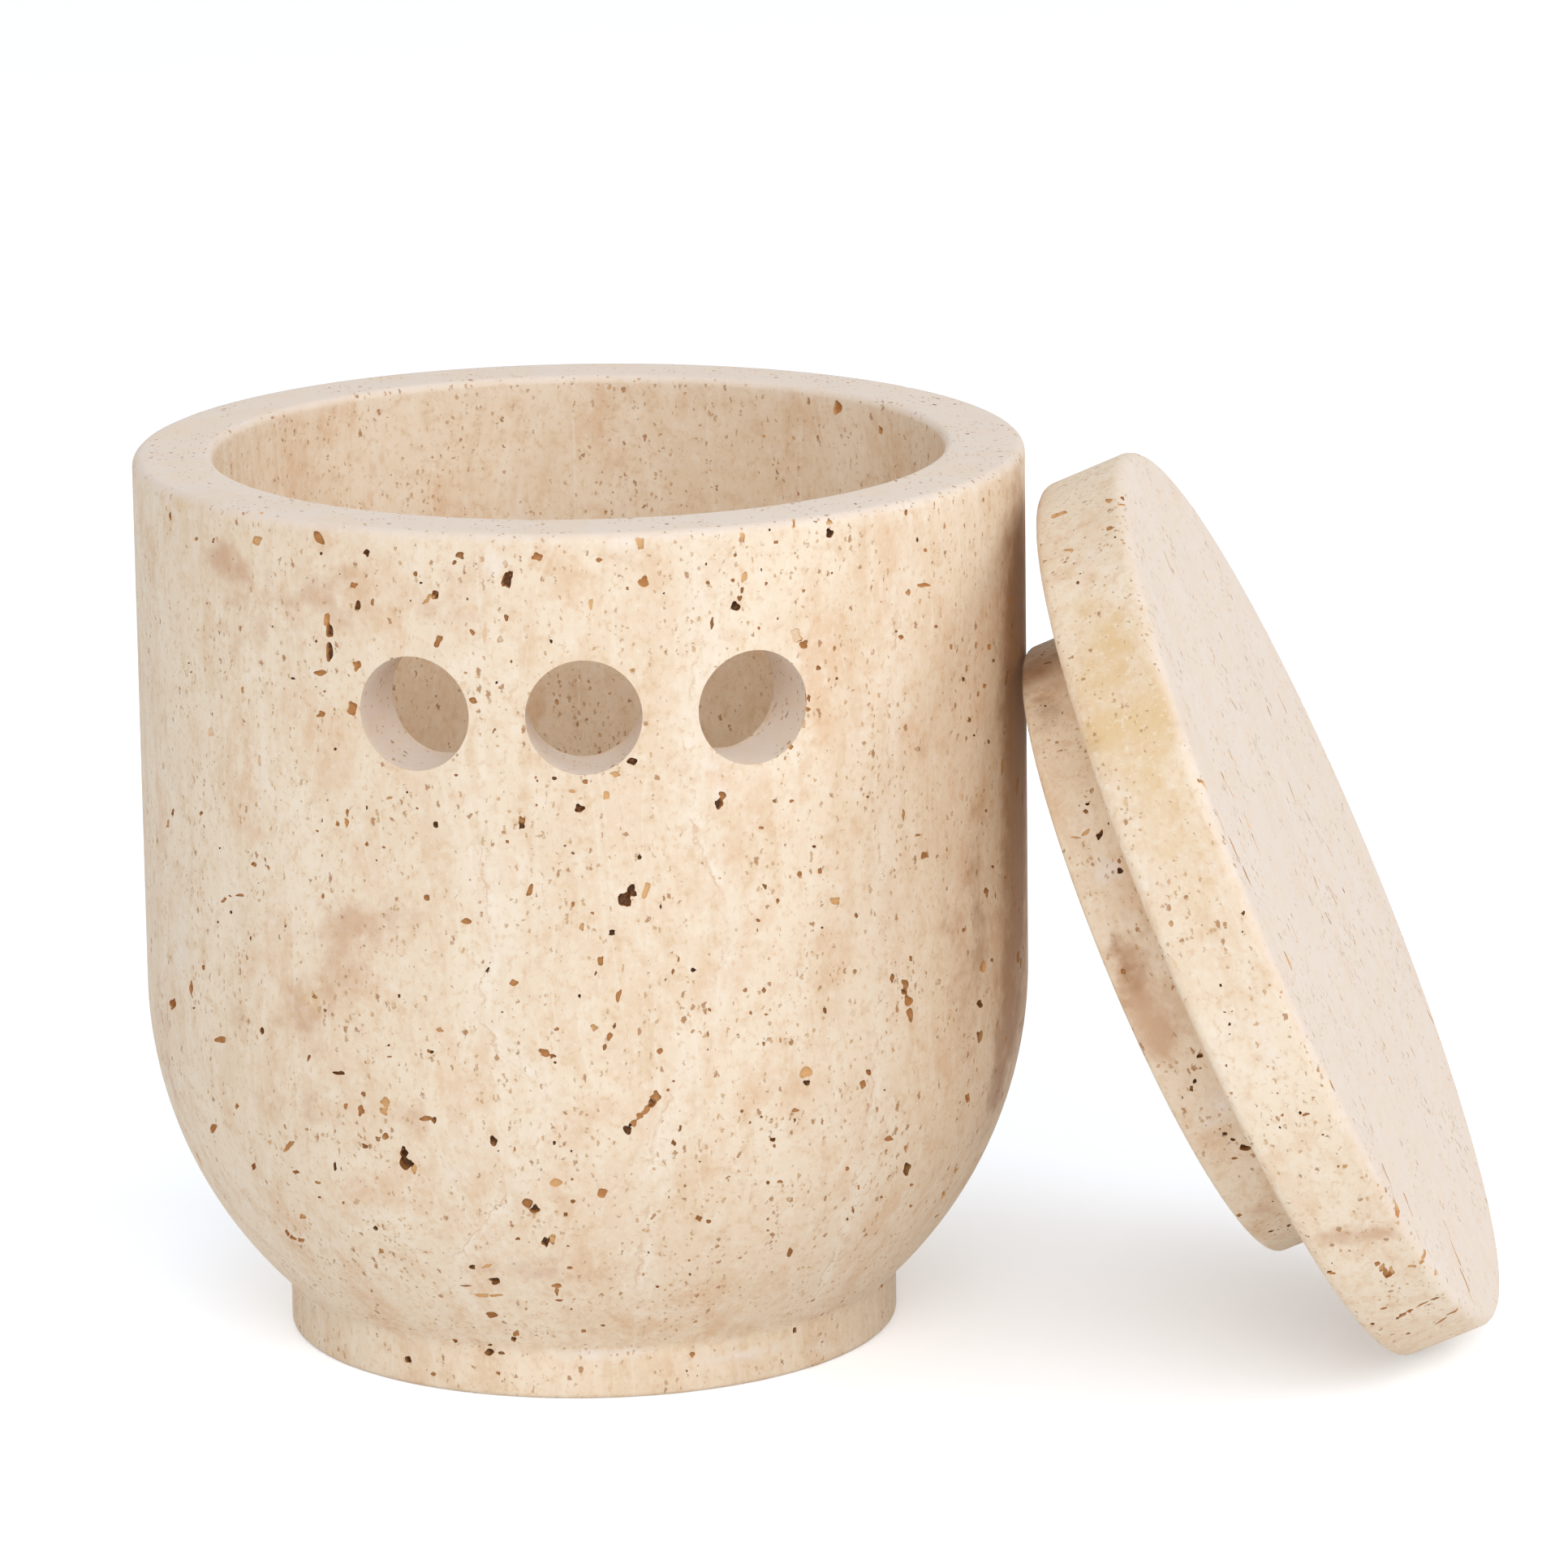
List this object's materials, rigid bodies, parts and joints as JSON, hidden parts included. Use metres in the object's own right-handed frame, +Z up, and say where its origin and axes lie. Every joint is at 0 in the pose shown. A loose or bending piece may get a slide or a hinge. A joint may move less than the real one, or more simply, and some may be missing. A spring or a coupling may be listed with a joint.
{
  "type": "garlic keeper",
  "caption": "Round stone jar with a bowl-shaped base, a short foot and a row of vent holes near its rim, and a flat disc lid with a plug below it that leans against the jar.",
  "frame": {"origin": "middle of the flat face under the jar's foot, on the surface that it stands on", "axes": "+Z up the jar's axis and out of its mouth; the middle vent faces -Y; the lid leans on the +X side of the jar"},
  "size_m": [0.1948, 0.1479, 0.1284],
  "materials": {
    "travertine_jar": "honed",
    "travertine_lid": "honed"
  },
  "bodies": {
    "jar": {"jar": "travertine_jar"},
    "lid": {"lid": "travertine_lid"}
  },
  "joints": [
    {"name": "lid_lift", "type": "slide", "parent": "jar", "child": "lid", "axis": [0, 0, 1], "range_m": [0, 0.14]}
  ]
}
